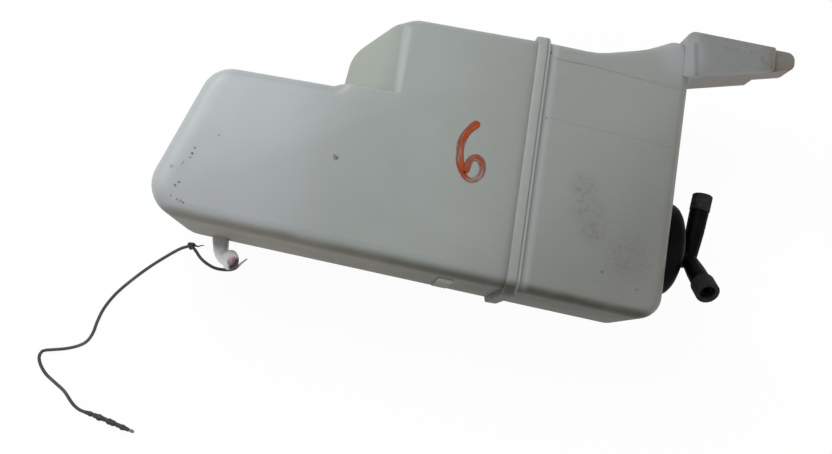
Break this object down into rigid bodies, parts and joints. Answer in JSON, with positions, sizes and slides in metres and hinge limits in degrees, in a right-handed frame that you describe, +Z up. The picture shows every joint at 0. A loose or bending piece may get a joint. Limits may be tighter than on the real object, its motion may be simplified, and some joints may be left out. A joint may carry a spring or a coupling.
{
  "type": "coolant reservoir",
  "caption": "Translucent moulded coolant expansion tank with a black push-on cap, two vent spigots, a mounting tongue and a thin wire tied to its outlet elbow.",
  "frame": {"origin": "middle of the object's footprint on the ground it lies on", "axes": "+X from the narrow end to the filler cap, +Y to the dipped side with the mounting tongue, +Z up through the big side face"},
  "size_m": [0.4323, 0.2907, 0.083],
  "materials": {
    "tank_plastic": "milky translucent, satin, stained",
    "elbow_plastic": "cloudy translucent",
    "cap_plastic": "satin black",
    "seal_rubber": "matte",
    "hose_rubber": "matte, greyed",
    "wire_cover": "satin",
    "wire_tape": "old, dull",
    "bare_end": "dull"
  },
  "bodies": {
    "tank": {"lower_shell": "tank_plastic", "upper_shell": "tank_plastic", "outlet_elbow": "elbow_plastic", "wire_hook": "wire_cover", "wire_knot": "wire_cover", "wire": "wire_cover", "wire_sleeve": "wire_tape", "wire_tip": "bare_end"},
    "cap": {"cap": "cap_plastic", "cap_seal": "seal_rubber", "upper_hose_end": "hose_rubber", "lower_hose_end": "hose_rubber"}
  },
  "joints": [
    {"name": "cap_pull", "type": "slide", "parent": "tank", "child": "cap", "axis": [1, 0, 0], "range_m": [0, 0.04]}
  ]
}
